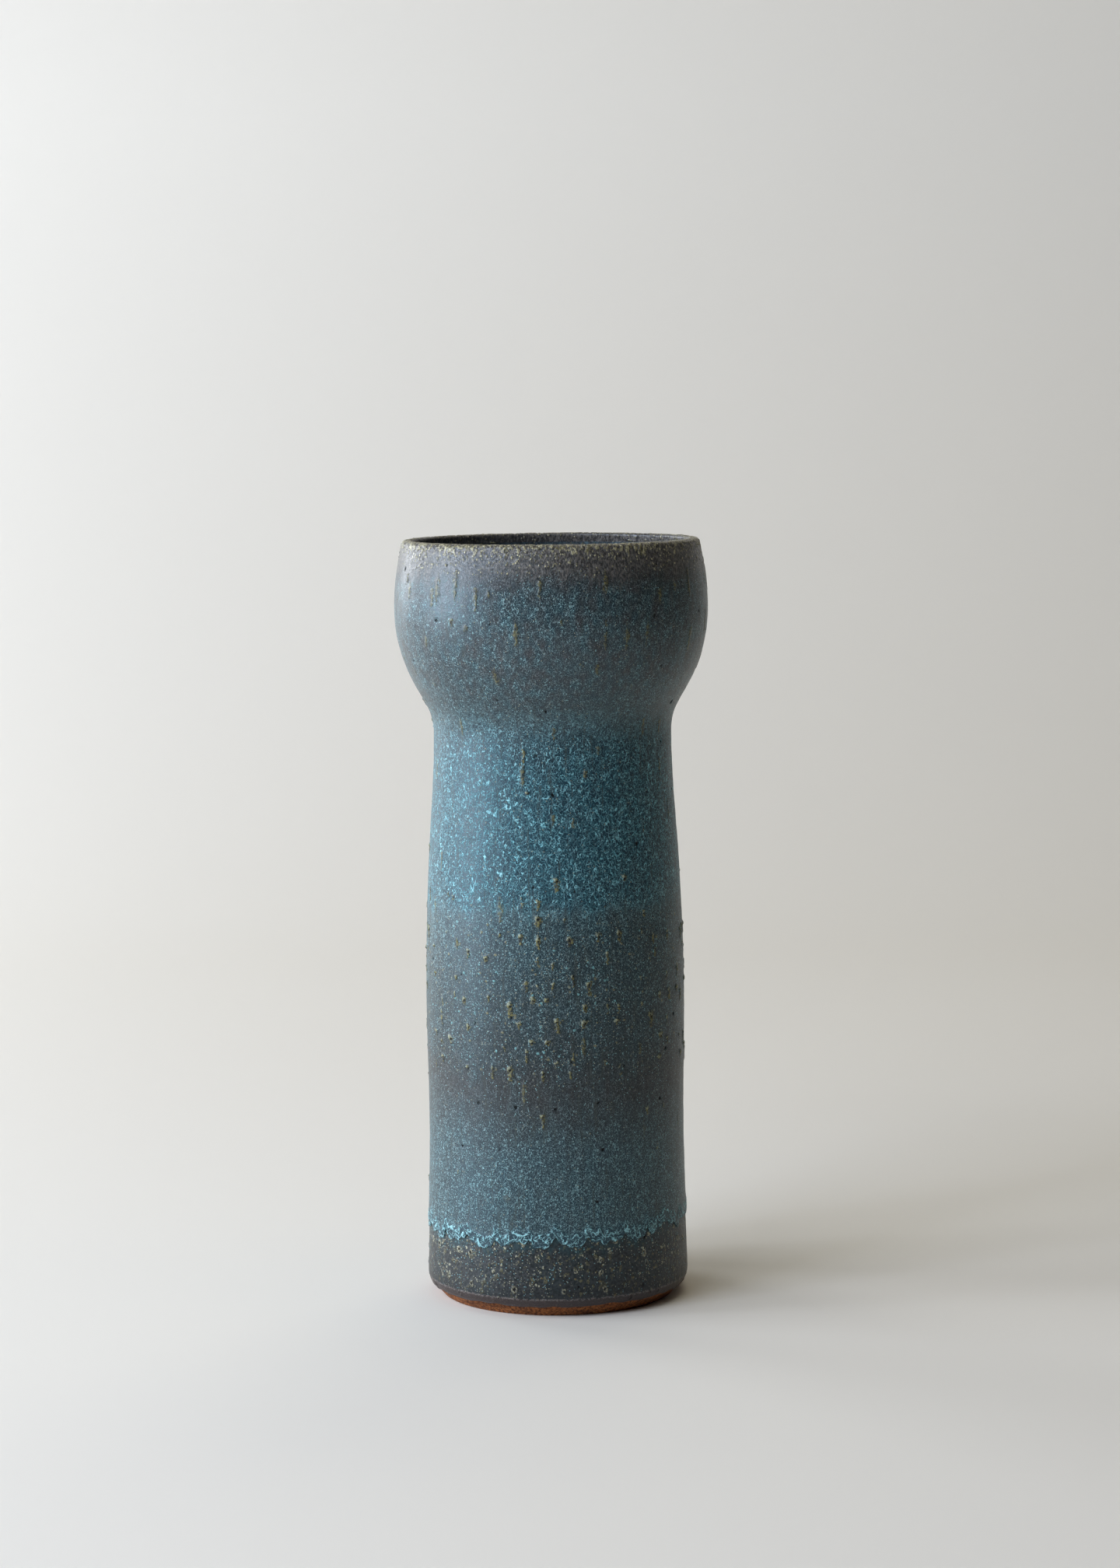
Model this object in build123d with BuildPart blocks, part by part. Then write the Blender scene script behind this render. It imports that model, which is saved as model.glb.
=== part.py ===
"""Wheel-thrown stoneware vase: a tall, faintly waisted shaft that opens into a deep cup-shaped collar.

Millimetres, +Z up, origin at the centre of the face the foot rests on.
The vase is a clay body under four fired coats: a base glaze and a blue glaze outside, a liner inside
and a glaze over the lip. Every piece is a half section turned about Z, and neighbours share their faces.
"""

import os
from collections import namedtuple
from math import asin, cos, degrees, radians, sin

from build123d import *

# Heights above the resting face.
HEIGHT = 260.0
BARE_CLAY_TOP = 4.4
BEVEL_TOP = 5.5
FLOOR_TOP = 9.0
HEM = 25.0
WAIST = 60.0
BELLY = 100.0
TAPER = 160.0
NECK = 195.2
LIP = 257.0

# Radii of the glazed surface at those heights, and of the long arc that closes the cup towards its lip.
Wall = namedtuple("Wall", "foot base waist belly taper neck cup collar_arc")
OUTSIDE = Wall(foot=40.5, base=45.4, waist=43.9, belly=44.4, taper=42.3, neck=40.6, cup=53.5, collar_arc=84.0)
INSIDE = Wall(foot=39.4, base=39.4, waist=39.0, belly=39.7, taper=37.8, neck=35.8, cup=48.9, collar_arc=127.0)

# The flare from neck to cup: a small hollow arc, a straight flank and a large round arc.
FLARE_ANGLE = 30.0
FLARE_ARC = 18.0
CUP_ARC = 54.0

# Thickness of each coat.
BLUE_COAT = 0.35
BASE_COAT = 0.35
COATS = BLUE_COAT + BASE_COAT
LINER_COAT = 0.3
LIP_COAT = 0.5

# Trimming and rounding.
FOOT_ROUND = 0.8
RECESS_RADIUS = 30.0
RECESS_DEPTH = 2.0
CORNER_ROUND = 9.0
HEM_ROUND = 0.25

# Radii of the lip's inner and outer corners.
CLAY_LIP_ROUND = (0.6, 1.8)
GLAZE_LIP_ROUND = (0.9, 2.3)


def filled(wall, inset, bottom=0.0, top=HEIGHT):
    """The half section inside a wall line that is drawn in by inset, between two heights."""
    rise, run = cos(radians(FLARE_ANGLE)), sin(radians(FLARE_ANGLE))
    flank_length = (wall.cup - wall.neck - (FLARE_ARC + CUP_ARC) * (1 - rise)) / run
    cup_height = NECK + (FLARE_ARC + CUP_ARC) * run + flank_length * rise
    collar_turn = degrees(asin((HEIGHT - cup_height) / wall.collar_arc))
    with BuildSketch() as section:
        with BuildLine():
            shaft = Spline(
                (wall.base - inset, BEVEL_TOP),
                (wall.waist - inset, WAIST),
                (wall.belly - inset, BELLY),
                (wall.taper - inset, TAPER),
                (wall.neck - inset, NECK),
                tangents=[(wall.waist - wall.base, WAIST - BEVEL_TOP), (0, 1)],
            )
            flare = JernArc(shaft @ 1, (0, 1), FLARE_ARC, -FLARE_ANGLE)
            flank = Line(flare @ 1, flare @ 1 + (flare % 1) * flank_length)
            cup = JernArc(flank @ 1, flank % 1, CUP_ARC, FLARE_ANGLE)
            collar = JernArc(cup @ 1, (0, 1), wall.collar_arc, collar_turn)
            Polyline(collar @ 1, (0, HEIGHT), (0, 0), (wall.foot - inset, 0), shaft @ 0)
        make_face()
        with Locations((0, bottom)):
            Rectangle(2 * HEIGHT, top - bottom, align=(Align.CENTER, Align.MIN), mode=Mode.INTERSECT)
    return section.sketch


def hollow(inset, floor):
    """The half section of the space inside the vase, with its rounded floor corner."""
    with BuildSketch() as section:
        add(filled(INSIDE, inset, bottom=floor))
        corner = section.vertices().group_by(Axis.Y)[0].sort_by(Axis.X)[-1]
        fillet(corner, CORNER_ROUND)
    return section.sketch


def rounded_lip(section, radii):
    """Rounds the two top corners of the sketch being built, the inner corner first."""
    inner, outer = section.vertices().group_by(Axis.Y)[-1].sort_by(Axis.X)
    fillet(inner, radii[0])
    fillet(outer, radii[1])


def clay_section():
    """Wall, floor, bevelled foot and the shallow recess trimmed under it."""
    with BuildSketch() as section:
        add(filled(OUTSIDE, COATS, top=HEIGHT - LIP_COAT))
        add(hollow(-LINER_COAT, FLOOR_TOP), mode=Mode.SUBTRACT)
        rounded_lip(section, CLAY_LIP_ROUND)
        Rectangle(
            RECESS_RADIUS,
            RECESS_DEPTH,
            align=(Align.MIN, Align.MIN),
            mode=Mode.SUBTRACT,
        )
        foot_edges = section.vertices().group_by(Axis.Y)[0]
        fillet(foot_edges, FOOT_ROUND)
    return section.sketch


def vase_section():
    """The finished, glazed wall with its rounded lip."""
    with BuildSketch() as section:
        add(filled(OUTSIDE, 0))
        add(hollow(0, FLOOR_TOP + LINER_COAT), mode=Mode.SUBTRACT)
        rounded_lip(section, GLAZE_LIP_ROUND)
    return section.sketch


# The thrown and trimmed stoneware, bare on the bevel and under the foot.
with BuildPart() as clay_body:
    with BuildSketch(Plane.XZ):
        add(clay_section())
    revolve(axis=Axis.Z)

# The dark iron glaze next to the clay, from the bevel to the lip.
with BuildPart() as base_glaze:
    with BuildSketch(Plane.XZ):
        add(filled(OUTSIDE, BLUE_COAT, BARE_CLAY_TOP, LIP))
        add(filled(OUTSIDE, COATS), mode=Mode.SUBTRACT)
    revolve(axis=Axis.Z)

# The blue glaze laid over it, from the hem to the lip, with a rounded lower edge.
with BuildPart() as blue_glaze:
    with BuildSketch(Plane.XZ) as blue_section:
        add(filled(OUTSIDE, 0, HEM, LIP))
        add(filled(OUTSIDE, BLUE_COAT), mode=Mode.SUBTRACT)
        fillet(blue_section.vertices().group_by(Axis.Y)[0].sort_by(Axis.X)[-1], HEM_ROUND)
    revolve(axis=Axis.Z)

# The thin glaze that covers the lip and joins the outside coats to the liner.
with BuildPart() as lip_glaze:
    with BuildSketch(Plane.XZ):
        add(vase_section())
        add(clay_section(), mode=Mode.SUBTRACT)
        with Locations((0, LIP)):
            Rectangle(2 * HEIGHT, HEIGHT, align=(Align.CENTER, Align.MIN), mode=Mode.INTERSECT)
    revolve(axis=Axis.Z)

# The liner glaze on the inside wall and the floor.
with BuildPart() as liner_glaze:
    with BuildSketch(Plane.XZ):
        add(hollow(-LINER_COAT, FLOOR_TOP))
        add(hollow(0, FLOOR_TOP + LINER_COAT), mode=Mode.SUBTRACT)
        with Locations((0, LIP)):
            Rectangle(2 * HEIGHT, HEIGHT, align=(Align.CENTER, Align.MIN), mode=Mode.SUBTRACT)
    revolve(axis=Axis.Z)

NODES = {
    "clay_body": clay_body,
    "base_glaze": base_glaze,
    "blue_glaze": blue_glaze,
    "lip_glaze": lip_glaze,
    "liner_glaze": liner_glaze,
}

os.makedirs("parts", exist_ok=True)
for name, node in NODES.items():
    node.part.label = name
    export_step(node.part, f"parts/{name}.step")
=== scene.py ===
"""Looks for the stoneware vase: a lathe-turned mesh with glaze relief for each coat, and the studio.

Blender works in metres. Profiles and glaze recipes are written in millimetres. Every vase mesh carries the
attribute "rest", its own surface in millimetres before any relief. All textures are laid on that, so colour
and relief stay in register and run on from one coat to the next.
"""

from math import cos, pi, radians, sin

import bpy
import numpy as np
from mathutils import Matrix, Vector


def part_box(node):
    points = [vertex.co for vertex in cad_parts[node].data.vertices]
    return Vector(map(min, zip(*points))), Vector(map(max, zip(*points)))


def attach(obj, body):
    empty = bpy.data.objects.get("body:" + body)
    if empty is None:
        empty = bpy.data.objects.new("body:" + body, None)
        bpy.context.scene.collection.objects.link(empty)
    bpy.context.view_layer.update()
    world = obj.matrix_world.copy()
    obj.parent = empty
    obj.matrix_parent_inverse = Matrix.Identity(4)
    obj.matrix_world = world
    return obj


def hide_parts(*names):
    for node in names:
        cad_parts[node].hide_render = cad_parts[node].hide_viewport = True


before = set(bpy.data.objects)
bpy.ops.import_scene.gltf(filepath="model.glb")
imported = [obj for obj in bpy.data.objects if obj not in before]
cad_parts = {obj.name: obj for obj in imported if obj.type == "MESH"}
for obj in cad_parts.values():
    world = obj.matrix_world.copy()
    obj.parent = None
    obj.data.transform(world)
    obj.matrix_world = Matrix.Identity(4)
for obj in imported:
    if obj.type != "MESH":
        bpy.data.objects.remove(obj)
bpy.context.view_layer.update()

MM = 0.001

# ---------------------------------------------------------------------------------------------------
# Profiles, read from the frame, in millimetres
# ---------------------------------------------------------------------------------------------------

# Walls are sampled at this spacing, and smoothed over this many samples.
PROFILE_STEP = 0.25
PROFILE_BLUR = 5

# How squarely a vertex of the CAD mesh has to face outwards or inwards to count as part of that wall.
WALL_FACING = 0.6


def surface(node):
    """A CAD node's vertices as radius, height and how far each one faces away from the axis."""
    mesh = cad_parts[node].data
    place = np.array([v.co for v in mesh.vertices]) / MM
    normal = np.array([v.normal for v in mesh.vertices])
    radius = np.hypot(place[:, 0], place[:, 1])
    facing = (place[:, :2] * normal[:, :2]).sum(axis=1) / np.maximum(radius, 1e-6)
    return radius, place[:, 2], facing


def blurred(values, reach):
    """A gaussian blur of evenly spaced values that carries both ends on in line."""
    offsets = np.arange(-3 * reach, 3 * reach + 1)
    weights = np.exp(-0.5 * (offsets / reach) ** 2)
    before = 2 * values[0] - values[3 * reach:0:-1]
    after = 2 * values[-1] - values[-2:-3 * reach - 2:-1]
    return np.convolve(np.concatenate([before, values, after]), weights / weights.sum(), "valid")


def wall(node, side):
    """Radius against height on the outward (1) or inward (-1) wall of a CAD node, as a function."""
    radius, height, facing = surface(node)
    chosen = facing * side > WALL_FACING
    order = np.argsort(height[chosen])
    level = np.arange(height[chosen].min(), height[chosen].max() + PROFILE_STEP / 2, PROFILE_STEP)
    drawn = blurred(np.interp(level, height[chosen][order], radius[chosen][order]), PROFILE_BLUR)
    return lambda z: np.interp(z, level, drawn)


def height_range(node):
    """The lowest and highest point of a CAD node."""
    low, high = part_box(node)
    return low.z / MM, high.z / MM


LIP, TOP = height_range("lip_glaze")
HEM = height_range("blue_glaze")[0]
BARE_CLAY = height_range("base_glaze")[0]
FLOOR = height_range("liner_glaze")[0]

glazed_wall = wall("blue_glaze", 1)
base_wall = wall("base_glaze", 1)
clay_wall = wall("base_glaze", -1)
inner_wall = wall("liner_glaze", -1)
inner_clay = wall("liner_glaze", 1)

# The ring that the vase stands on, the recess inside it and the top of the clay.
clay_radius, clay_height, _ = surface("clay_body")
on_table = clay_height < 0.005
FOOT_INNER = clay_radius[on_table].min()
FOOT_OUTER = clay_radius[on_table].max()
RECESS = clay_height[(clay_radius < FOOT_INNER + 0.1) & (clay_height < FLOOR / 2)].max()
CLAY_TOP = clay_height.max()

# ---------------------------------------------------------------------------------------------------
# Outlines: rows of radius, height and how much of the relief shows there
# ---------------------------------------------------------------------------------------------------

# Spacing of the points on a face that shows, and on one that is covered.
FINE = 0.5
COARSE = 4.0


def run(profile, start, end, step, shown=1.0):
    """Points along a wall between two heights."""
    count = max(2, round(abs(end - start) / step) + 1)
    z = np.linspace(start, end, count)
    return np.column_stack([profile(z), z, np.full(count, shown)])


def rounded(corners, radii, step, shown=1.0):
    """Points along a bent line whose inner corners are rounded, by one radius or by one for each."""
    corners = [np.array(c, float) for c in corners]
    points = [corners[0]]
    radii = radii if isinstance(radii, tuple) else (radii,) * (len(corners) - 2)
    for radius, before, corner, after in zip(radii, corners, corners[1:], corners[2:]):
        back, ahead = before - corner, after - corner
        room = min(np.linalg.norm(back), np.linalg.norm(ahead)) / 2
        back, ahead = back / np.linalg.norm(back), ahead / np.linalg.norm(ahead)
        half = np.arccos(np.clip(back @ ahead, -1, 1)) / 2
        reach = min(radius / np.tan(half), room)
        t = np.linspace(0, 1, 9)[:, None]
        start, end = corner + back * reach, corner + ahead * reach
        points.extend((1 - t) ** 2 * start + 2 * t * (1 - t) * corner + t**2 * end)
    points.append(corners[-1])
    line = np.array(points)
    along = np.concatenate([[0], np.cumsum(np.linalg.norm(np.diff(line, axis=0), axis=1))])
    even = np.linspace(0, along[-1], max(2, round(along[-1] / step) + 1))
    radius = np.interp(even, along, line[:, 0])
    height = np.interp(even, along, line[:, 1])
    return np.column_stack([radius, height, np.full(len(even), shown)])


def joined(*pieces):
    """One outline from pieces that meet end to end, with no point twice."""
    line = np.concatenate(pieces)
    keep = np.ones(len(line), bool)
    keep[1:] = np.linalg.norm(np.diff(line[:, :2], axis=0), axis=1) > 1e-4
    if np.linalg.norm(line[0, :2] - line[-1, :2]) < 1e-4:
        keep[-1] = False
    return line[keep]


# ---------------------------------------------------------------------------------------------------
# The wavy hem of the blue glaze
# ---------------------------------------------------------------------------------------------------


def waves(turn, seed, counts, size):
    """A smooth random line round the vase: a sum of whole numbers of waves."""
    draw = np.random.default_rng(seed)
    total = np.zeros_like(turn)
    for count in counts:
        total += draw.uniform(0.5, 1.0) * np.sin(count * turn + draw.uniform(0, 2 * pi))
    return size * total / len(counts)


# The hem hangs in lobes below a slowly tilting line, and the wall above follows it up to this far.
HEM_LOBES = 25
LOBE_DEPTH = 3.2
HEM_TILT = 1.6
HEM_LIFT = 2.6
HEM_SWAY = 1.8
HEM_FADE = 26.0


def hem_height(turn):
    """The height of the blue glaze's lower edge."""
    tilt = HEM_TILT * np.sin(turn - 0.1)
    sway = waves(turn, 5, (11, 14, 19), 1.0)
    lobes = -LOBE_DEPTH * np.abs(np.sin(HEM_LOBES / 2 * turn + 1.5 * sway)) ** 0.8
    ragged = waves(turn, 6, (43, 57, 71, 93), 1.1)
    return HEM + HEM_LIFT + tilt + HEM_SWAY * sway + lobes + ragged


def follow_hem(radius, height, turn):
    """Slides a coat's rings so that its lower edge lies on the hem, dying out further up the wall."""
    share = np.clip(1 - (height - HEM) / HEM_FADE, 0, 1) ** 2
    moved = height + share * (hem_height(turn) - HEM)
    return radius + glazed_wall(moved) - glazed_wall(height), moved


def ragged_foot(radius, height, turn):
    """Lets the base glaze stop at slightly different heights round the foot."""
    share = np.clip(1 - (height - BARE_CLAY) / 3, 0, 1)
    moved = height + share * (waves(turn, 8, (3, 7, 13, 29, 41), 0.7) - 0.5)
    return radius + clay_wall(moved) - clay_wall(height), moved


# ---------------------------------------------------------------------------------------------------
# Meshes
# ---------------------------------------------------------------------------------------------------

SHARP_EDGE = radians(60)


def outward(radius, height, shown, looped):
    """Each point's outward direction, as radial and vertical parts, from its neighbours on the shown face."""
    def neighbour(values, step):
        moved = np.roll(values, -step, axis=0)
        keep = shown & ~np.roll(shown, -step, axis=0)
        if not looped:
            keep[-1 if step > 0 else 0] = True
        return np.where(keep, values, moved)

    across = neighbour(radius, 1) - neighbour(radius, -1)
    up = neighbour(height, 1) - neighbour(height, -1)
    length = np.maximum(np.hypot(across, up), 1e-9)
    return np.stack([up / length, -across / length], axis=-1)


def lathe(name, outline, columns, slide=None):
    """Turns an outline about Z. One that starts on the axis is closed by fans, any other is a closed loop."""
    on_axis = outline[0, 0] < 1e-6
    body = outline[1:-1] if on_axis else outline
    rings = len(body)
    turn = np.arange(columns) * 2 * pi / columns
    radius, height, shown = (np.repeat(column[:, None], columns, axis=1) for column in body.T)
    turns = np.repeat(turn[None, :], rings, axis=0)
    if slide:
        radius, height = slide(radius, height, turns)
    around = np.stack([np.sin(turns), -np.cos(turns)], axis=-1)
    place = np.concatenate([radius[..., None] * around, height[..., None]], axis=-1).reshape(-1, 3)
    lean = outward(radius, height, shown > 0, not on_axis)
    out = np.concatenate([lean[..., :1] * around, lean[..., 1:]], axis=-1).reshape(-1, 3)
    shown = shown.reshape(-1)
    column = np.arange(columns)
    across = (column + 1) % columns
    ring = np.arange(rings - 1 if on_axis else rings)[:, None]
    above = (ring + 1) % rings
    faces = np.stack([ring * columns + column, ring * columns + across,
                      above * columns + across, above * columns + column], axis=-1).reshape(-1, 4).tolist()
    if on_axis:
        first, last = len(place), len(place) + 1
        place = np.concatenate([place, [[0, 0, outline[0, 1]], [0, 0, outline[-1, 1]]]])
        out = np.concatenate([out, [[0, 0, 1], [0, 0, 1]]])
        shown = np.concatenate([shown, [0, 0]])
        end = (rings - 1) * columns
        faces += np.stack([np.full(columns, first), across, column], axis=-1).tolist()
        faces += np.stack([end + column, end + across, np.full(columns, last)], axis=-1).tolist()
    mesh = bpy.data.meshes.new(name)
    mesh.from_pydata((place * MM).tolist(), [], faces)
    mesh.shade_smooth()
    mesh.set_sharp_from_angle(angle=SHARP_EDGE)
    facing = np.arctan2(place[:, 0], -place[:, 1])
    for attribute, kind, field, values in (
        ("rest", "FLOAT_VECTOR", "vector", place),
        ("outward", "FLOAT_VECTOR", "vector", out),
        ("shown", "FLOAT", "value", shown),
        ("above_hem", "FLOAT", "value", place[:, 2] - hem_height(facing)),
    ):
        column_of_values = mesh.attributes.new(attribute, kind, "POINT").data
        column_of_values.foreach_set(field, values.astype(np.float32).reshape(-1))
    piece = bpy.data.objects.new(name, mesh)
    bpy.context.scene.collection.objects.link(piece)
    return piece


# ---------------------------------------------------------------------------------------------------
# Texture recipes, which work alike in a material and in geometry nodes
# ---------------------------------------------------------------------------------------------------


class Field:
    """A node's output that can be added, multiplied and compared."""

    def __init__(self, recipe, socket):
        self.recipe, self.socket = recipe, socket

    def _with(self, operation, *values):
        vector = any(v.socket.type == "VECTOR" for v in (self, *values) if isinstance(v, Field))
        vector = vector or any(isinstance(v, tuple) for v in values)
        return self.recipe.maths(operation, self, *values, vector=vector)

    def __add__(self, other):
        return self._with("ADD", other)

    def __sub__(self, other):
        return self._with("SUBTRACT", other)

    def __mul__(self, other):
        return self._with("MULTIPLY", other)

    def __truediv__(self, other):
        return self._with("DIVIDE", other)

    def __rsub__(self, other):
        return self.recipe.maths("SUBTRACT", other, self)

    def __pow__(self, other):
        return self._with("POWER", other)

    def __abs__(self):
        return self._with("ABSOLUTE")

    __radd__ = __add__
    __rmul__ = __mul__

    def most(self, other):
        return self._with("MAXIMUM", other)

    def least(self, other):
        return self._with("MINIMUM", other)

    def rise(self, low, high):
        """0 below low, 1 above high and smooth between."""
        return self.recipe.steps(self, low, high, 0.0, 1.0)

    def fall(self, low, high):
        """1 below low, 0 above high and smooth between."""
        return self.recipe.steps(self, low, high, 1.0, 0.0)

    @property
    def parts(self):
        return self.recipe.outputs("ShaderNodeSeparateXYZ", Vector=self)


class Recipe:
    """Builds texture nodes in a shader tree or a geometry tree."""

    def __init__(self, tree):
        self.tree = tree
        self.rest = self.attribute("rest", "FLOAT_VECTOR")
        self.x, self.y, self.z = self.rest.parts

    def plug(self, socket, value):
        """Links a field to a socket, or sets the socket to a constant."""
        if isinstance(value, Field):
            self.tree.links.new(value.socket, socket)
        else:
            socket.default_value = value

    def outputs(self, kind, settings=(), **inputs):
        """A new node's outputs, with its properties set and its inputs plugged."""
        node = self.tree.nodes.new(kind)
        for key, value in dict(settings).items():
            setattr(node, key, value)
        for name, value in inputs.items():
            self.plug(node.inputs[name.replace("_", " ")], value)
        return [Field(self, socket) for socket in node.outputs]

    def attribute(self, name, kind="FLOAT"):
        """A mesh attribute, in either kind of tree."""
        if self.tree.type == "SHADER":
            color, vector, value, _ = self.outputs("ShaderNodeAttribute", {"attribute_name": name})
            return vector if kind == "FLOAT_VECTOR" else value
        return self.outputs("GeometryNodeInputNamedAttribute", {"data_type": kind}, Name=name)[0]

    def maths(self, operation, *values, vector=False):
        """One maths node, on numbers or on vectors."""
        node = self.tree.nodes.new("ShaderNodeVectorMath" if vector else "ShaderNodeMath")
        node.operation = operation
        for socket, value in zip(node.inputs, values):
            self.plug(socket, (value,) * 3 if vector and isinstance(value, (int, float)) else value)
        return Field(self, node.outputs[0])

    def steps(self, value, low, high, start, end):
        """A smooth step from start to end as the value goes from low to high."""
        return self.outputs("ShaderNodeMapRange", {"interpolation_type": "SMOOTHSTEP"}, Value=value, **{
            "From Min": low, "From Max": high, "To Min": start, "To Max": end})[0]

    def by_height(self, level, stops):
        """A value that runs smoothly through (height, value) stops."""
        node = self.tree.nodes.new("ShaderNodeValToRGB")
        ramp = node.color_ramp
        ramp.interpolation = "B_SPLINE"
        for _ in range(len(stops) - 2):
            ramp.elements.new(0.5)
        for element, (height, value) in zip(ramp.elements, stops):
            element.position = height / TOP
            element.color = (value, value, value, 1.0)
        self.plug(node.inputs[0], level / TOP)
        return Field(self, node.outputs[0])

    def moved(self, shift):
        """The rest position moved along, so that each texture has a pattern of its own."""
        return self.rest + (shift, shift, shift)

    def noise(self, size, detail=0.0, roughness=0.5, distortion=0.0, shift=0.0):
        """Perlin noise from 0 to 1. Size is a feature's width in millimetres, or a width for each axis."""
        size = size if isinstance(size, tuple) else (size,) * 3
        return self.outputs("ShaderNodeTexNoise", Vector=self.moved(shift) / size, Scale=1.0, Detail=detail,
                            Roughness=roughness, Distortion=distortion)[0]

    def crumpled(self, amount, size, shift):
        """The rest position, moved about by a noise so that what is laid on it comes out irregular."""
        wander = self.outputs("ShaderNodeTexNoise", Vector=self.moved(shift) / size, Scale=1.0, Detail=1.0)[1]
        return self.rest + (wander - (0.5, 0.5, 0.5)) * (2.0 * amount)

    def dots(self, size, shift=0.0):
        """Distance from the nearest of many points, as a share of size, and three random numbers for it."""
        size = size if isinstance(size, tuple) else (size,) * 3
        place = (self.crumpled(0.3 * size[0], 0.8 * size[0], shift) + (shift, shift, shift)) / size
        distance, color, _, *_ = self.outputs("ShaderNodeTexVoronoi", Vector=place, Scale=1.0)
        return distance, color.parts

    def spots(self, width, height, shift=0.0, crumple=0.5):
        """Scattered spots on the wall: distance sideways and upwards from the nearest, in millimetres, three
        random numbers for it, and 1 where it lies near the wall, else 0."""
        size = (width, width, height)
        place = self.crumpled(crumple, 1.6, shift) + (shift, shift, shift)
        _, color, centre, *_ = self.outputs("ShaderNodeTexVoronoi", Vector=place / size, Scale=1.0,
                                            Randomness=0.75)
        away_x, away_y, up = (place - centre * size).parts
        radius = (self.x * self.x + self.y * self.y) ** 0.5
        inward = (self.x * away_x + self.y * away_y) / radius
        sideways = (self.x * away_y - self.y * away_x) / radius
        near = abs(inward).fall(0.28 * width, 0.32 * width)
        return sideways, up, color.parts, near

    def hypot(self, a, b):
        """Length of the hypotenuse."""
        return (a * a + b * b) ** 0.5

    def blend(self, amount, low, high):
        """A colour between two colours."""
        node = self.tree.nodes.new("ShaderNodeMix")
        node.data_type = "RGBA"
        for socket, value in zip((node.inputs[0], node.inputs[6], node.inputs[7]), (amount, low, high)):
            self.plug(socket, (*value, 1.0) if isinstance(value, tuple) else value)
        return Field(self, node.outputs[2])

    def layer(self, under, *coats):
        """Colours laid over one another, each an (amount, colour) pair."""
        for amount, colour in coats:
            under = self.blend(amount, under, colour)
        return under


# Heights in millimetres between which one kind of glaze gives way to the next.
SPECKS_START = (76.0, 90.0)
SPECKS_END = (125.0, 145.0)
BLISTERS_END = (126.0, 150.0)
NECK_STARTS = (134.0, 142.0)
NECK_ENDS = (190.0, 208.0)
COLLAR_STARTS = (195.0, 215.0)
DRIPS_START = (130.0, 150.0)
DRIPS_END = (250.0, 256.0)
LIP_STARTS = (246.0, 254.0)


def blisters(k):
    """Burst blisters with an ochre run below. Returns the run, the pit and its raised rim, which lies above
    the pit on the side facing the window lights and carries a painted highlight, each 0 to 1.
    """
    sideways, up, (long, wide, chance), near = k.spots(5.4, 7.2, shift=3.0, crumple=0.8)
    crowd = 0.05 + 0.72 * k.z.rise(*SPECKS_START) * k.z.fall(*BLISTERS_END)
    kept = near * (crowd - chance).rise(0.0, 0.02)
    length = 0.5 + 3.6 * long * long
    girth = 0.5 + 0.9 * wide * wide
    down = (0.0 - up / length).most(0.0).least(1.0)
    gap = k.hypot(sideways, up + down * length)
    grit = k.noise(0.8, detail=1.5, shift=7.0) - 0.5
    stain = (1.0 - gap / (girth * (1.0 - 0.3 * down)) + 2.6 * grit).rise(0.0, 0.55) * kept
    from_pit = k.hypot(sideways - 0.1, up + 0.15) / girth + 1.2 * grit
    pit = from_pit.fall(0.2, 0.45) * (wide - 0.4).rise(0.0, 0.02) * kept
    # The rim sits above the pit, off to the side that faces the window lights at the front. Its pale colour
    # is partly pale glaze and partly a painted highlight.
    lit_rim = (k.hypot(sideways + 0.3 * girth, up - 0.35 * girth) / girth + 1.8 * grit).fall(0.4, 0.85)
    return stain, pit, lit_rim * (1.0 - pit) * kept


def drips(k):
    """Olive runs down the collar and the neck, beaded and uneven, as a strength from 0 to 1."""
    sideways, up, (long, wide, chance), near = k.spots(7.0, 15.0, shift=43.0, crumple=0.6)
    crowd = 0.05 + 0.12 * k.z.rise(*DRIPS_START) + 0.48 * k.z.rise(*COLLAR_STARTS) * k.z.fall(*DRIPS_END)
    kept = near * (crowd - chance).rise(0.0, 0.02)
    along = up / (1.5 + 5.0 * long)
    beads = k.noise((0.8, 0.8, 1.6), detail=1.0, shift=45.0) - 0.5
    return (1.0 - abs(sideways) / (0.7 + 0.7 * wide) - along * along + 2.4 * beads).rise(0.0, 0.8) * kept


def craters(k):
    """Small burst bubbles of the dark glaze. Returns the ring and its pit, each 0 to 1."""
    size = 4.4
    sideways, up, (wide, deep, chance), near = k.spots(size, size * 1.15, shift=31.0, crumple=0.6)
    kept = near * (0.5 - chance).rise(0.0, 0.02)
    reach = size * (0.05 + 0.13 * wide)
    gap = k.hypot(sideways, 0.8 * up)
    grit = k.noise(0.6, detail=1.0, shift=31.0) - 0.5
    ring = (abs(gap - reach) + 0.9 * grit).fall(0.0, 0.4) * kept
    pit = (gap / reach).fall(0.3, 0.7) * (deep - 0.5).rise(0.0, 0.02) * kept
    return ring, pit


def pinholes(k):
    """Deep dark pinholes, few and far between."""
    sideways, up, (wide, _, chance), near = k.spots(13.0, 15.0, shift=21.0)
    kept = near * (0.42 - chance).rise(0.0, 0.02)
    return k.hypot(sideways, up).fall(0.2 + 0.2 * wide, 0.4 + 0.3 * wide) * kept


def flecks(k, size, crowd, shift):
    """Small scattered dots, and a random number for each."""
    distance, (_, chance, hue) = k.dots(size, shift=shift)
    return distance.fall(0.18, 0.4) * (crowd - chance).rise(0.0, 0.04), hue


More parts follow.
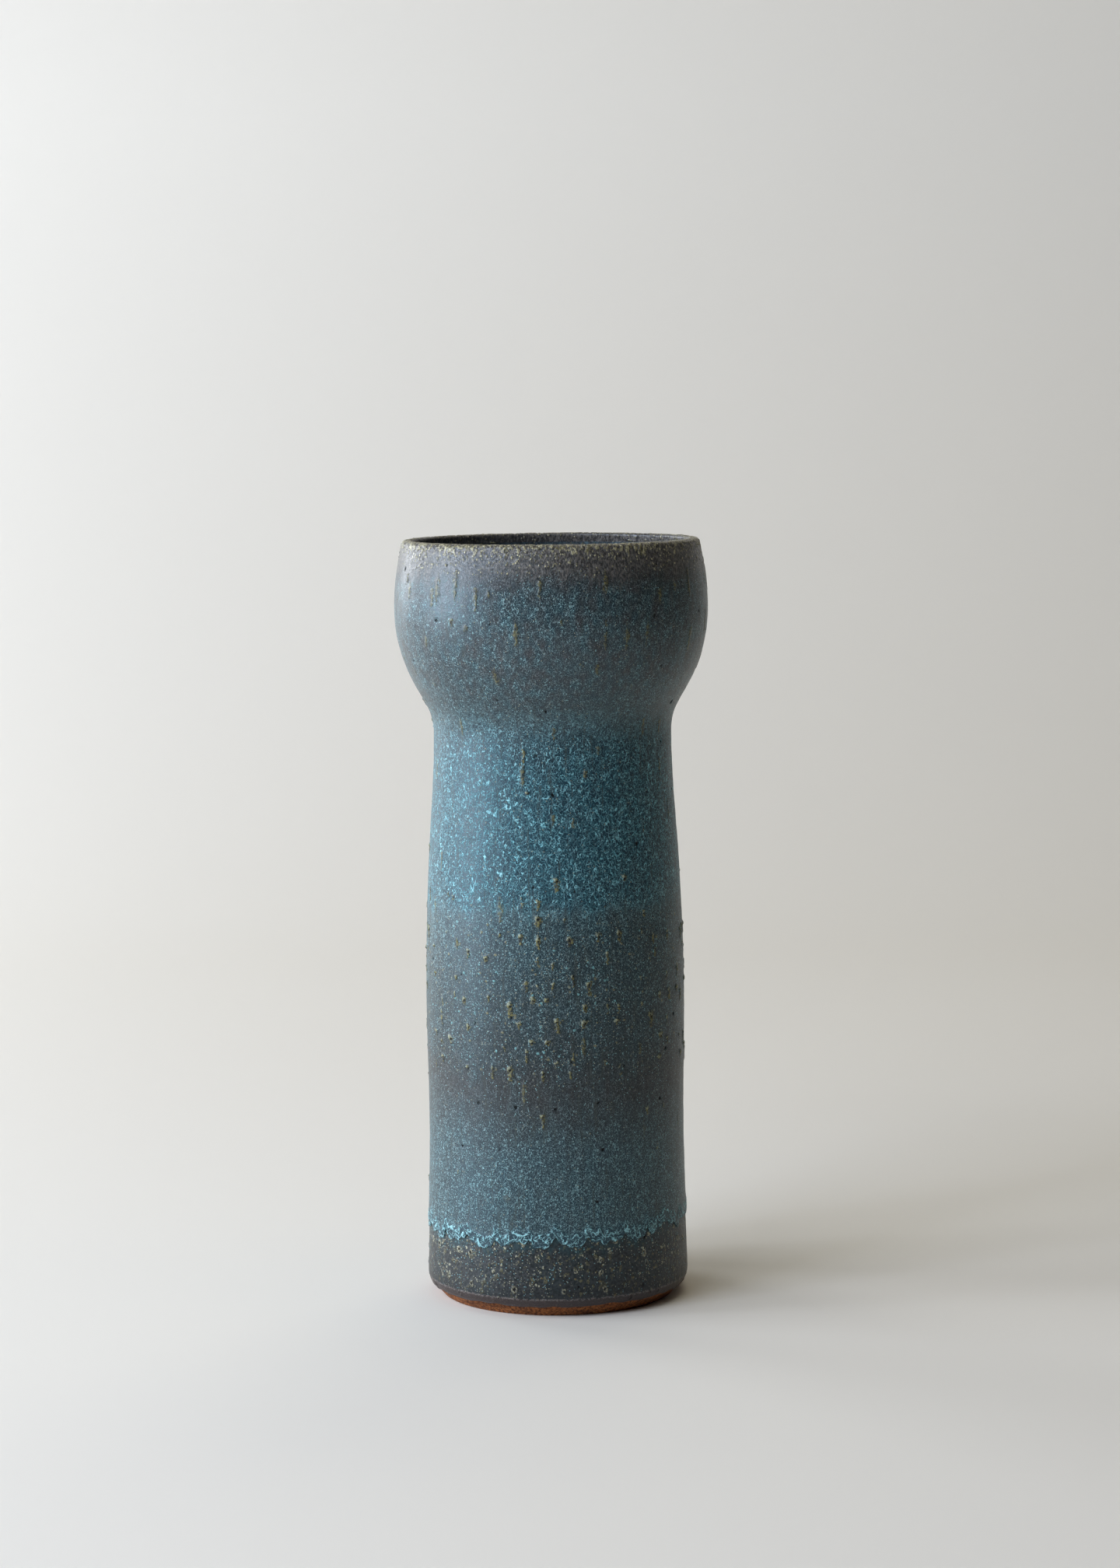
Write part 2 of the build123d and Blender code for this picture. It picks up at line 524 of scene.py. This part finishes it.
def crust(k):
    """Crumbly glaze at the lip: a broken paste on the edge, loose beads below. Returns amount and tone."""
    lean_x, lean_y, _ = k.attribute("outward", "FLOAT_VECTOR").parts
    outside = (k.x * lean_x + k.y * lean_y).rise(-30.0, 10.0)
    level = k.z + 6.0 * (k.noise((3.5, 3.5, 6.0), detail=1.0, shift=2.0) - 0.5) - 5.0 * (1.0 - outside)
    distance, (tone, chance, _) = k.dots((0.7, 0.7, 0.95), shift=5.0)
    beads = distance.fall(0.25, 0.48) * (0.6 * level.rise(247.5, 261.0) - chance).rise(0.0, 0.05)
    paste = k.noise((1.0, 1.0, 1.7), detail=2.0, shift=62.0) + 0.15 * level.rise(256.0, 260.5)
    clumps = paste.rise(0.6, 0.68) * level.rise(253.5, 257.5)
    return beads.most(0.85 * clumps), tone


def veins(k, size, shift=0.0):
    """How far a noise is from its middle, which is 0 along a network of curly lines."""
    return abs(k.noise((size, size, 1.25 * size), detail=0.4, distortion=0.8, shift=shift) - 0.5)


def worms(k, size, width, shift=0.0):
    """A network of fine crystals, as a strength from 0 to 1."""
    return veins(k, size, shift).fall(0.2 * width, width)


def hem_lace(k, above_hem):
    """The bright curls of glaze along the hem, and how near the hem is."""
    level = above_hem + 4.5 * (k.noise(2.6, detail=0.8, distortion=0.5, shift=14.0) - 0.5)
    band = level.fall(3.8, 5.2)
    edges = abs(level - 0.5).fall(0.0, 0.26).most(abs(level - 3.4).fall(0.0, 0.24))
    curls = worms(k, 2.0, 0.036, shift=17.0).most(worms(k, 1.2, 0.036, shift=27.0))
    gaps = k.noise(1.1, shift=61.0).rise(0.32, 0.5)
    return edges.most(curls) * band * gaps, band


def relief(k, coat):
    """Height in millimetres above the rest surface, of all that is large enough for the mesh to hold."""
    above_hem = k.attribute("above_hem")
    swell = k.noise((9.0, 9.0, 22.0), detail=1.0) - 0.5
    ripple = k.noise(3.0, detail=1.0, shift=9.0) - 0.5
    skin = 0.2 * swell + 0.16 * ripple
    if coat == "liner":
        throwing = k.maths("SINE", k.z * 0.95 + 3.0 * k.noise((60.0, 60.0, 25.0))) * 0.11
        return skin + throwing
    if coat == "base":
        ring, hole = craters(k)
        return skin + 0.18 * ring - 0.3 * hole - 0.4 * pinholes(k)
    crumbs, _ = crust(k)
    stain, pit, lit_rim = blisters(k)
    lace, band = hem_lace(k, above_hem)
    raised = 0.22 * stain + 0.28 * lit_rim + 0.16 * drips(k) + 0.22 * crumbs + 0.14 * lace + 0.1 * band
    return skin + raised - 0.45 * pit - 0.45 * pinholes(k)


def raise_relief(piece, coat):
    """Moves each point of a mesh outwards by the relief, where the piece shows."""
    tree = bpy.data.node_groups.new(piece.name + "_relief", "GeometryNodeTree")
    tree.interface.new_socket("Mesh", in_out="INPUT", socket_type="NodeSocketGeometry")
    tree.interface.new_socket("Mesh", in_out="OUTPUT", socket_type="NodeSocketGeometry")
    k = Recipe(tree)
    shift = k.maths("SCALE", k.attribute("outward", "FLOAT_VECTOR"), vector=True)
    k.plug(shift.socket.node.inputs["Scale"], relief(k, coat) * k.attribute("shown") * MM)
    entry = k.outputs("NodeGroupInput")[0]
    moved = k.outputs("GeometryNodeSetPosition", Geometry=entry, Offset=shift)[0]
    leave = tree.nodes.new("NodeGroupOutput")
    tree.links.new(moved.socket, leave.inputs[0])
    modifier = piece.modifiers.new("relief", "NODES")
    modifier.node_group = tree
    shaped = bpy.data.meshes.new_from_object(piece.evaluated_get(bpy.context.evaluated_depsgraph_get()))
    piece.modifiers.clear()
    piece.data = shaped


# ---------------------------------------------------------------------------------------------------
# Materials
# ---------------------------------------------------------------------------------------------------


def finish_with(name, recipe, gloss=0.5, tint=(1.0, 1.0, 1.0)):
    """A material from a recipe that returns colour, roughness and fine relief in millimetres."""
    material = bpy.data.materials.new(name)
    material.use_nodes = True
    tree = material.node_tree
    shader = tree.nodes["Principled BSDF"]
    k = Recipe(tree)
    colour, roughness, fine = recipe(k)
    k.plug(shader.inputs["Base Color"], colour)
    k.plug(shader.inputs["Roughness"], roughness)
    bump = k.outputs("ShaderNodeBump", Strength=1.0, Distance=MM, Height=fine)[0]
    k.plug(shader.inputs["Normal"], bump)
    shader.inputs["Specular IOR Level"].default_value = gloss
    shader.inputs["Specular Tint"].default_value = (*tint, 1.0)
    return material


# How blue the outside glaze is at each height, from a bare dark ground (0) to a full mat of crystals (1).
BLUE_BELTS = ((25, 0.78), (44, 0.74), (56, 0.66), (68, 0.3), (78, 0.0), (88, 0.1), (100, 0.24), (122, 0.36),
              (134, 0.65), (142, 0.98), (180, 0.98), (198, 0.65), (212, 0.36), (228, 0.38), (240, 0.54),
              (247, 0.3), (253, 0.0))

# Colours as linear red, green and blue. A pair holds the two ends that a noise or a random number mixes.
BROWN_GROUND = (0.018, 0.016, 0.014)
GREEN_GROUND = (0.010, 0.017, 0.018)
COLLAR_GROUND = (0.026, 0.027, 0.028)
BLUE_GROUND = (0.016, 0.045, 0.060)
NECK_GROUND = (0.003, 0.029, 0.046)
GREY_CRYSTAL = (0.125, 0.148, 0.150)
COLLAR_CRYSTAL = (0.165, 0.185, 0.190)
BLUE_CRYSTAL = (0.290, 0.550, 0.590)
NECK_CRYSTAL = (0.125, 0.500, 0.610)
# Whiter crystal centres, partly the crystals' own colour and partly a painted glint.
CRYSTAL_CORE_GLINT = (0.430, 0.740, 0.790)
DREGS = (0.040, 0.048, 0.038)
FLECKS = ((0.42, 0.43, 0.30), (0.34, 0.64, 0.68))
BEADS = ((0.22, 0.20, 0.10), (0.18, 0.42, 0.44))
BROWN_LIP = ((0.038, 0.034, 0.032), (0.180, 0.164, 0.150))
CRUST = ((0.10, 0.088, 0.030), (0.62, 0.58, 0.36))
DRIP = ((0.022, 0.019, 0.009), (0.180, 0.160, 0.048))
BLISTER = ((0.018, 0.013, 0.007), (0.200, 0.178, 0.048))
# A blister's pale rim, partly pale glaze and partly a painted highlight on its lit side.
BLISTER_RIM_HIGHLIGHT = (0.40, 0.42, 0.27)
BLISTER_PIT = (0.016, 0.011, 0.009)
PINHOLE = (0.008, 0.007, 0.006)
HEM_GROUND = (0.006, 0.032, 0.048)
HEM_LACE = (0.35, 0.70, 0.76)


def crystal_mat(k, level, rich, neck_zone, speckled, high):
    """The network of crystals over its ground. Returns the colour, the crystals and their whiter cores, which
    carry a painted glint.
    """
    strength = 0.65 + 0.35 * k.noise((1.6, 1.6, 3.5), detail=1.0, shift=71.0).rise(0.32, 0.6)
    vein = veins(k, 1.3).least(1.15 * veins(k, 1.15, shift=18.0))
    bold = vein.fall(0.008, 0.034) * neck_zone
    core_glint = vein.fall(0.004, 0.018) * neck_zone * strength
    fine = worms(k, 0.6, 0.055, shift=8.0) * (1.0 - 0.7 * neck_zone)
    crystals = bold.most(fine) * strength
    poor_ground = k.blend(high, k.blend(speckled, BROWN_GROUND, GREEN_GROUND), COLLAR_GROUND)
    poor_crystal = k.blend(high, GREY_CRYSTAL, COLLAR_CRYSTAL)
    ground = k.blend(rich, poor_ground, k.blend(neck_zone, BLUE_GROUND, NECK_GROUND))
    crystal = k.blend(rich, poor_crystal, k.blend(neck_zone, BLUE_CRYSTAL, NECK_CRYSTAL))
    # The cores are whitened, partly as the crystals' own colour and partly as a painted glint.
    colour = k.layer(ground, (crystals, crystal), (0.6 * core_glint, CRYSTAL_CORE_GLINT))
    return colour, crystals, core_glint


def outside_glaze(k):
    """Blue crystals over a dark ground in soft uneven belts, ochre blisters, a brown lip and a bright hem."""
    above_hem = k.attribute("above_hem")
    slow = k.noise(34.0, detail=1.0, shift=1.0) - 0.5
    streak = k.noise((1.8, 1.8, 26.0), detail=1.0, shift=4.0) - 0.5
    cloud = k.noise((8.0, 8.0, 10.0), detail=1.5, shift=12.0) - 0.5
    patch = k.noise((3.0, 3.0, 4.5), detail=1.0, shift=15.0) - 0.5
    level = k.z + 10.0 * slow + 6.0 * streak + 8.0 * cloud

    high = k.z.rise(*COLLAR_STARTS)
    lip_zone = (k.z + 3.0 * slow + 10.0 * streak + 9.0 * cloud + 8.0 * patch).rise(*LIP_STARTS)
    neck_zone = level.rise(*NECK_STARTS) * level.fall(*NECK_ENDS)
    speckled = level.rise(*SPECKS_START) * level.fall(*SPECKS_END)

    rich = k.by_height(level, BLUE_BELTS) + 0.5 * streak + 0.6 * cloud + (0.3 + 1.2 * high) * patch
    rich = rich.most(0.0).least(1.1) * (1.0 - 0.9 * lip_zone)
    colour, crystals, core_glint = crystal_mat(k, level, rich, neck_zone, speckled, high)
    dregs = k.noise((1.3, 1.3, 18.0), detail=1.0, shift=13.0).rise(0.6, 0.72)
    colour = k.layer(colour, (0.4 * dregs, DREGS))

    fleck, hue = flecks(k, 0.6, 0.12 + 0.18 * speckled, 16.0)
    colour = k.layer(colour, (0.8 * fleck * (1.0 - 0.5 * lip_zone), k.blend(hue.rise(0.3, 0.4), *FLECKS)))
    bead, hue = flecks(k, 1.5, 0.01 + 0.1 * speckled, 23.0)
    colour = k.layer(colour, (0.8 * bead * (1.0 - lip_zone), k.blend(hue.rise(0.5, 0.6), *BEADS)))

    grain = k.noise((0.6, 0.6, 1.1), detail=1.0, shift=6.0).rise(0.35, 0.68)
    crumbs, tone = crust(k)
    colour = k.layer(colour, (0.8 * lip_zone, k.blend(grain, *BROWN_LIP)),
                     (0.85 * crumbs, k.blend(tone, *CRUST)))

    blots = k.noise(0.7, detail=1.5, shift=19.0).rise(0.38, 0.6)
    run = drips(k)
    stain, pit, lit_rim = blisters(k)
    holes = pinholes(k)
    # Blister rims are pale only on their lit side, partly as a painted highlight.
    colour = k.layer(colour, (0.75 * run, k.blend(blots, *DRIP)), (0.85 * stain, k.blend(blots, *BLISTER)),
                     (0.55 * lit_rim, BLISTER_RIM_HIGHLIGHT), (0.9 * pit, BLISTER_PIT), (holes, PINHOLE))

    lace, band = hem_lace(k, above_hem)
    colour = k.layer(colour, (0.75 * band, HEM_GROUND), (0.95 * lace, HEM_LACE))

    roughness = 0.40 - 0.08 * high + 0.12 * stain
    raised = 0.08 * (crystals + fleck + run) + 0.1 * (bead + crumbs + stain + lace) + 0.14 * lit_rim + 0.05 * core_glint
    sunk = 0.3 * pit + 0.3 * holes
    skin = 0.09 * (k.noise(0.5, detail=1.0, shift=3.0) - 0.5)
    return colour, roughness, raised - sunk + skin


CHARCOAL = ((0.003, 0.005, 0.006), (0.038, 0.042, 0.045))
BLUE_TRACE = (0.012, 0.036, 0.044)
BLUE_GLOW = (0.010, 0.048, 0.060)
OLIVE_BLOTCH = ((0.035, 0.033, 0.018), (0.150, 0.138, 0.070))
DARK_FLECKS = ((0.46, 0.46, 0.33), (0.22, 0.46, 0.50))
DARK_BEADS = ((0.17, 0.13, 0.050), (0.46, 0.46, 0.33))
CRATER_RING = ((0.10, 0.09, 0.045), (0.44, 0.43, 0.31))
CRATER_PIT = (0.018, 0.013, 0.009)
# Painted shade for the lowest part of the foot, which turns down away from the light.
PAINTED_FOOT_SHADE = (0.006, 0.006, 0.007)
FOOT_MAUVE = (0.042, 0.028, 0.026)
FOOT_LINE = (0.22, 0.19, 0.18)


def dark_glaze(k):
    """Charcoal iron glaze with olive craters, pale flecks and a trace of blue, thin and mauve at the foot,
    with painted shade over its lowest part.
    """
    above_hem = k.attribute("above_hem")
    mottle = k.noise(0.8, detail=1.5, shift=26.0)
    cloud = k.noise((6.0, 6.0, 8.0), detail=1.5, shift=22.0).rise(0.42, 0.62)
    blotch = k.noise((1.7, 1.7, 2.4), detail=2.0, shift=36.0).rise(0.58, 0.68)
    broken = k.noise(0.6, detail=1.0, shift=30.0).rise(0.35, 0.6)
    glow = above_hem.rise(-5.5, -0.5) * k.noise(2.0, detail=1.5, shift=37.0).rise(0.35, 0.6)
    colour = k.layer(k.blend(mottle.rise(0.3, 0.7), *CHARCOAL), (0.2 * cloud, BLUE_TRACE),
                     (0.75 * blotch, k.blend(broken, *OLIVE_BLOTCH)), (0.6 * glow, BLUE_GLOW))

    near_hem = above_hem.rise(-8.0, -1.0)
    fleck, hue = flecks(k, 0.6, 0.32 + 0.12 * near_hem, 28.0)
    colour = k.layer(colour, (0.8 * fleck, k.blend(hue.rise(0.5, 0.6), *DARK_FLECKS)))
    bead, hue = flecks(k, 1.7, 0.26, 29.0)
    colour = k.layer(colour, (0.85 * bead * broken, k.blend(hue.rise(0.3, 0.5), *DARK_BEADS)))

    ring, hole = craters(k)
    holes = pinholes(k)
    colour = k.layer(colour, (0.8 * ring, k.blend(broken, *CRATER_RING)), (0.9 * hole, CRATER_PIT),
                     (holes, PINHOLE))

    edge = k.z + 0.8 * (k.noise(1.5, detail=1.0, shift=33.0) - 0.5)
    line = edge.rise(6.0, 6.4) * edge.fall(6.6, 7.1) * k.noise(0.7, detail=1.0, shift=35.0).rise(0.4, 0.58)
    # Painted shade darkens the glaze towards the bottom edge, from 15 mm down, where the foot turns down from
    # the light.
    colour = k.layer(colour, (0.5 * k.z.fall(6.5, 15.0), PAINTED_FOOT_SHADE), (0.9 * edge.fall(6.2, 6.8), FOOT_MAUVE),
                     (0.5 * line, FOOT_LINE))
    raised = 0.1 * ring + 0.06 * fleck + 0.1 * bead + 0.05 * mottle + 0.06 * blotch
    return colour, 0.42 + 0.15 * ring, raised - 0.25 * hole - 0.3 * holes


LINER_MOTTLE = ((0.032, 0.042, 0.050), (0.070, 0.092, 0.108))
LINER_CRYSTAL = (0.14, 0.24, 0.29)
LINER_OLIVE = ((0.10, 0.09, 0.04), (0.32, 0.30, 0.16))


def liner(k):
    """Dark blue-grey glaze, mottled, with olive flecks near the lip."""
    mottle = k.noise((1.0, 1.0, 1.4), detail=1.5, shift=41.0)
    crystals = worms(k, 1.1, 0.1, shift=44.0)
    cloud = k.noise((8.0, 8.0, 12.0), detail=1.5, shift=47.0)
    crumbs, tone = crust(k)
    crumbs = crumbs * k.z.rise(253.5, 258.0)
    distance, (_, chance, _) = k.dots((1.4, 1.4, 2.0), shift=49.0)
    fleck = distance.fall(0.2, 0.4) * (0.22 * k.z.rise(236.0, 258.0) - chance).rise(0.0, 0.05)
    colour = k.layer(k.blend(mottle.rise(0.3, 0.7), *LINER_MOTTLE),
                     (0.5 * crystals * cloud.rise(0.35, 0.6), LINER_CRYSTAL),
                     (0.85 * crumbs.most(fleck), k.blend(tone, *LINER_OLIVE)))
    return colour, 0.38 + 0.1 * mottle, 0.05 * mottle + 0.08 * fleck + 0.02 * crystals


RUST = ((0.045, 0.010, 0.004), (0.350, 0.125, 0.036))
SCORCHED = (0.070, 0.023, 0.010)
IRON_AND_GROG = ((0.030, 0.015, 0.010), (0.55, 0.32, 0.14))


def bare_clay(k):
    """Rust-brown stoneware, turned and gritty, with iron specks and pale grog."""
    grit = k.noise(0.9, detail=3.0, roughness=0.65, shift=51.0)
    burn = k.noise((10.0, 10.0, 3.0), detail=2.0, shift=53.0)
    distance, (tone, chance, _) = k.dots(0.9, shift=57.0)
    speck = distance.fall(0.15, 0.35) * (0.3 - chance).rise(0.0, 0.05)
    colour = k.layer(k.blend(grit.rise(0.3, 0.7), *RUST), (0.6 * burn.rise(0.5, 0.7), SCORCHED),
                     (0.8 * speck, k.blend(tone.rise(0.55, 0.65), *IRON_AND_GROG)))
    return colour, 0.88, 0.14 * grit + 0.1 * speck


def pale_paper(k):
    """The studio sweep, a warm white without any pattern."""
    return (0.785, 0.768, 0.730, 1.0), 0.9, 0.0


# ---------------------------------------------------------------------------------------------------
# The vase
# ---------------------------------------------------------------------------------------------------

# Columns round a piece with relief, and round a plain one.
GLAZE_COLUMNS = 600
PLAIN_COLUMNS = 300

# Radii of rounded edges. The lip's are in the order that lip_outline runs.
GLAZE_LIP_ROUND = (2.3, 0.9)
CLAY_LIP_ROUND = (0.6, 1.8)
HEM_ROUND = 0.3
BASE_EDGE_ROUND = 0.25
FOOT_ROUND = 0.8

# Thickness of the liner on the floor, radius of the corner between floor and wall, and where the wall starts.
FLOOR_COAT = 0.3
CORNER_ROUND = 9.0
CORNER_TOP = 20.0

# How far the hem's edge stands out, and how far the base glaze's fine mesh runs on under the blue.
HEM_BEAD = 0.1
OVERLAP = 8.0


def lip_corners(outer_wall, inner, top):
    """The four corners of a lip, from the outer wall over the top to the inner one. Both walls run on."""
    rise = top - LIP
    outer_slope = outer_wall(LIP) - outer_wall(LIP - 1.0)
    inner_slope = inner(LIP) - inner(LIP - 1.0)
    return [(outer_wall(LIP), LIP), (outer_wall(LIP) + rise * outer_slope, top),
            (inner(LIP) + rise * inner_slope, top), (inner(LIP), LIP)]


def inside_floor(radius, height, shown=0.0):
    """The flat floor and its rounded corner, from the wall in to the axis."""
    corners = [(radius, height + CORNER_TOP), (radius, height), (0.0, height)]
    return rounded(corners, CORNER_ROUND, 1.5, shown)


def blue_outline():
    """Round the hem, up the face and back down against the base glaze."""
    corners = [(base_wall(HEM), HEM), (glazed_wall(HEM) + HEM_BEAD, HEM),
               (glazed_wall(HEM + 1) + HEM_BEAD / 2, HEM + 1)]
    edge = rounded(corners, HEM_ROUND, 0.12, shown=0.3)
    face = run(glazed_wall, HEM + 1, LIP, FINE)
    under = run(base_wall, LIP, HEM, COARSE, shown=0.0)
    return joined(edge, face, under)


def base_outline():
    """Round the lower edge, up the band that shows, on under the blue glaze and back down on the clay."""
    top = BARE_CLAY + 0.5
    corners = [(clay_wall(BARE_CLAY), BARE_CLAY), (base_wall(BARE_CLAY), BARE_CLAY), (base_wall(top), top)]
    edge = rounded(corners, BASE_EDGE_ROUND, 0.1, shown=0.5)
    face = run(base_wall, top, HEM + OVERLAP, FINE)
    hidden = run(base_wall, HEM + OVERLAP, LIP, COARSE, shown=0.0)
    under = run(clay_wall, LIP, BARE_CLAY, COARSE, shown=0.0)
    return joined(edge, face, hidden, under)


def lip_outline():
    """Over the lip from outside to inside, and back against the clay."""
    face = rounded(lip_corners(glazed_wall, inner_wall, TOP), GLAZE_LIP_ROUND, 0.25)
    under = rounded(lip_corners(clay_wall, inner_clay, CLAY_TOP)[::-1], CLAY_LIP_ROUND, 0.5, shown=0.0)
    return joined(face, under)


def liner_outline():
    """From the axis out and up against the clay, then down the face that shows and in over the floor."""
    back_floor = inside_floor(inner_clay(FLOOR + 22.0), FLOOR)[::-1]
    back = run(inner_clay, FLOOR + CORNER_TOP, LIP, COARSE, shown=0.0)
    face = run(inner_wall, LIP, FLOOR + CORNER_TOP + FLOOR_COAT, 0.8)
    bowl = inside_floor(inner_wall(FLOOR + 22.0), FLOOR + FLOOR_COAT, shown=1.0)
    return joined(back_floor, back, face, bowl)


def clay_outline():
    """From the middle of the recess out over the foot, up, over the lip, and down and in over the floor."""
    recess_wall = FOOT_INNER - FOOT_ROUND
    corners = [(0.0, RECESS), (recess_wall, RECESS), (recess_wall, 0.0), (FOOT_OUTER + FOOT_ROUND / 2, 0.0),
               (clay_wall(BARE_CLAY), BARE_CLAY)]
    foot = rounded(corners, FOOT_ROUND, 0.5)
    outside = run(clay_wall, BARE_CLAY, LIP, COARSE, shown=0.0)
    lip = rounded(lip_corners(clay_wall, inner_clay, CLAY_TOP), CLAY_LIP_ROUND[::-1], 0.5, shown=0.0)
    inside = run(inner_clay, LIP, FLOOR + CORNER_TOP, COARSE, shown=0.0)
    floor = inside_floor(inner_clay(FLOOR + 22.0), FLOOR)
    return joined(foot, outside, lip, inside, floor)


# Specular level and specular tint of each coat.
GLOSS = {
    "blue_glaze": (0.62, (0.73, 0.88, 1.0)),
    "lip_glaze": (0.62, (0.78, 0.88, 1.0)),
    "liner_glaze": (0.62, (0.73, 0.85, 1.0)),
    "base_glaze": (0.45, (0.88, 0.95, 1.0)),
    "clay_body": (0.3, (1.0, 1.0, 1.0)),
}


def add_piece(name, node, outline, columns, coat, recipe, slide=None):
    """A lathed piece with its relief and material, in place of a CAD node."""
    piece = lathe(name, outline, columns, slide)
    if coat:
        raise_relief(piece, coat)
    piece.data.materials.append(finish_with(node, recipe, *GLOSS[node]))
    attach(piece, "root")
    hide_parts(node)
    return piece


add_piece("blue_glaze_coat", "blue_glaze", blue_outline(), GLAZE_COLUMNS, "blue", outside_glaze, follow_hem)
add_piece("base_glaze_coat", "base_glaze", base_outline(), GLAZE_COLUMNS, "base", dark_glaze, ragged_foot)
add_piece("lip_glaze_coat", "lip_glaze", lip_outline(), GLAZE_COLUMNS, "lip", outside_glaze)
add_piece("liner_glaze_coat", "liner_glaze", liner_outline(), PLAIN_COLUMNS, "liner", liner)
add_piece("stoneware_body", "clay_body", clay_outline(), PLAIN_COLUMNS, "", bare_clay)

# ---------------------------------------------------------------------------------------------------
# Studio: a pale paper sweep, a large soft window on the left and a dim warm room
# ---------------------------------------------------------------------------------------------------


def paper_sweep():
    """Floor and wall in one sheet, joined by a wide bend behind the vase."""
    half_width, front, back, bend, tall = 6.0, -6.0, 0.75, 0.5, 3.0
    angle = np.linspace(0, pi / 2, 25)
    curve_y = np.concatenate([[front], back + bend * np.sin(angle), [back + bend]])
    curve_z = np.concatenate([[0.0], bend * (1 - np.cos(angle)), [tall]])
    place = [(x, y, z) for y, z in zip(curve_y, curve_z) for x in (-half_width, half_width)]
    faces = [(i, i + 1, i + 3, i + 2) for i in range(0, len(place) - 2, 2)]
    mesh = bpy.data.meshes.new("paper_sweep")
    mesh.from_pydata(place, [], faces)
    mesh.shade_smooth()
    sweep = bpy.data.objects.new("paper_sweep", mesh)
    bpy.context.scene.collection.objects.link(sweep)
    mesh.materials.append(finish_with("paper", pale_paper))


DAYLIGHT = (0.85, 0.90, 1.0)
HAZY_DAYLIGHT = (0.87, 0.925, 1.0)
SKYLIGHT = (0.76, 0.84, 1.0)
NEUTRAL = (0.92, 0.955, 1.0)
WARM = (1.0, 0.87, 0.61)


def soft_light(name, turn, rise, watts, colour, reach=1.6, size=0.55):
    """A square of light that faces the vase. Turn, from the front to the right, and rise, from level, are in
    degrees, and reach and size in metres."""
    turn, rise = radians(turn), radians(rise)
    centre = Vector((0.0, 0.0, TOP * MM / 2))
    ahead = Vector((cos(rise) * sin(turn), -cos(rise) * cos(turn), sin(rise)))
    lamp = bpy.data.lights.new(name, "AREA")
    lamp.shape = "SQUARE"
    lamp.size = size
    lamp.energy = watts
    lamp.color = colour
    light = bpy.data.objects.new(name, lamp)
    bpy.context.scene.collection.objects.link(light)
    light.location = centre + ahead * reach
    light.rotation_euler = (-ahead).to_track_quat("-Z", "Y").to_euler()


# The photograph's camera: an 85 mm lens a little over a metre away, looking slightly down and almost level.
LENS = 85.0
SENSOR = 36.0
CAMERA_PLACE = (0.0024, -1.262, 0.3129)
CAMERA_DOWN = 6.19
CAMERA_ROLL = -0.6


def set_camera():
    """Puts the camera where the photograph was taken from."""
    data = bpy.data.cameras.new("camera")
    data.lens = LENS
    data.sensor_width = SENSOR
    camera = bpy.data.objects.new("camera", data)
    bpy.context.scene.collection.objects.link(camera)
    tip = Matrix.Rotation(radians(90 - CAMERA_DOWN), 4, "X")
    roll = Matrix.Rotation(radians(CAMERA_ROLL), 4, "Z")
    camera.matrix_world = Matrix.Translation(CAMERA_PLACE) @ tip @ roll
    bpy.context.scene.camera = camera


paper_sweep()
soft_light("window_middle", -90, 12, 17.5, HAZY_DAYLIGHT, size=0.8)
soft_light("window_near", -70, 12, 13.8, DAYLIGHT, size=0.8)
soft_light("window_far", -130, 12, 8.2, NEUTRAL)
soft_light("window_top", -50, 35, 9.1, SKYLIGHT)
soft_light("front_fill", -30, 35, 4.0, NEUTRAL)
soft_light("right_fill", 80, 50, 0.83, WARM, reach=1.8, size=0.8)
soft_light("back_fill", 160, 50, 3.5, WARM, reach=1.8, size=0.8)
soft_light("ceiling", 0, 89, 4.1, WARM, reach=1.8, size=1.0)
bpy.context.scene.view_settings.view_transform = "Standard"
set_camera()
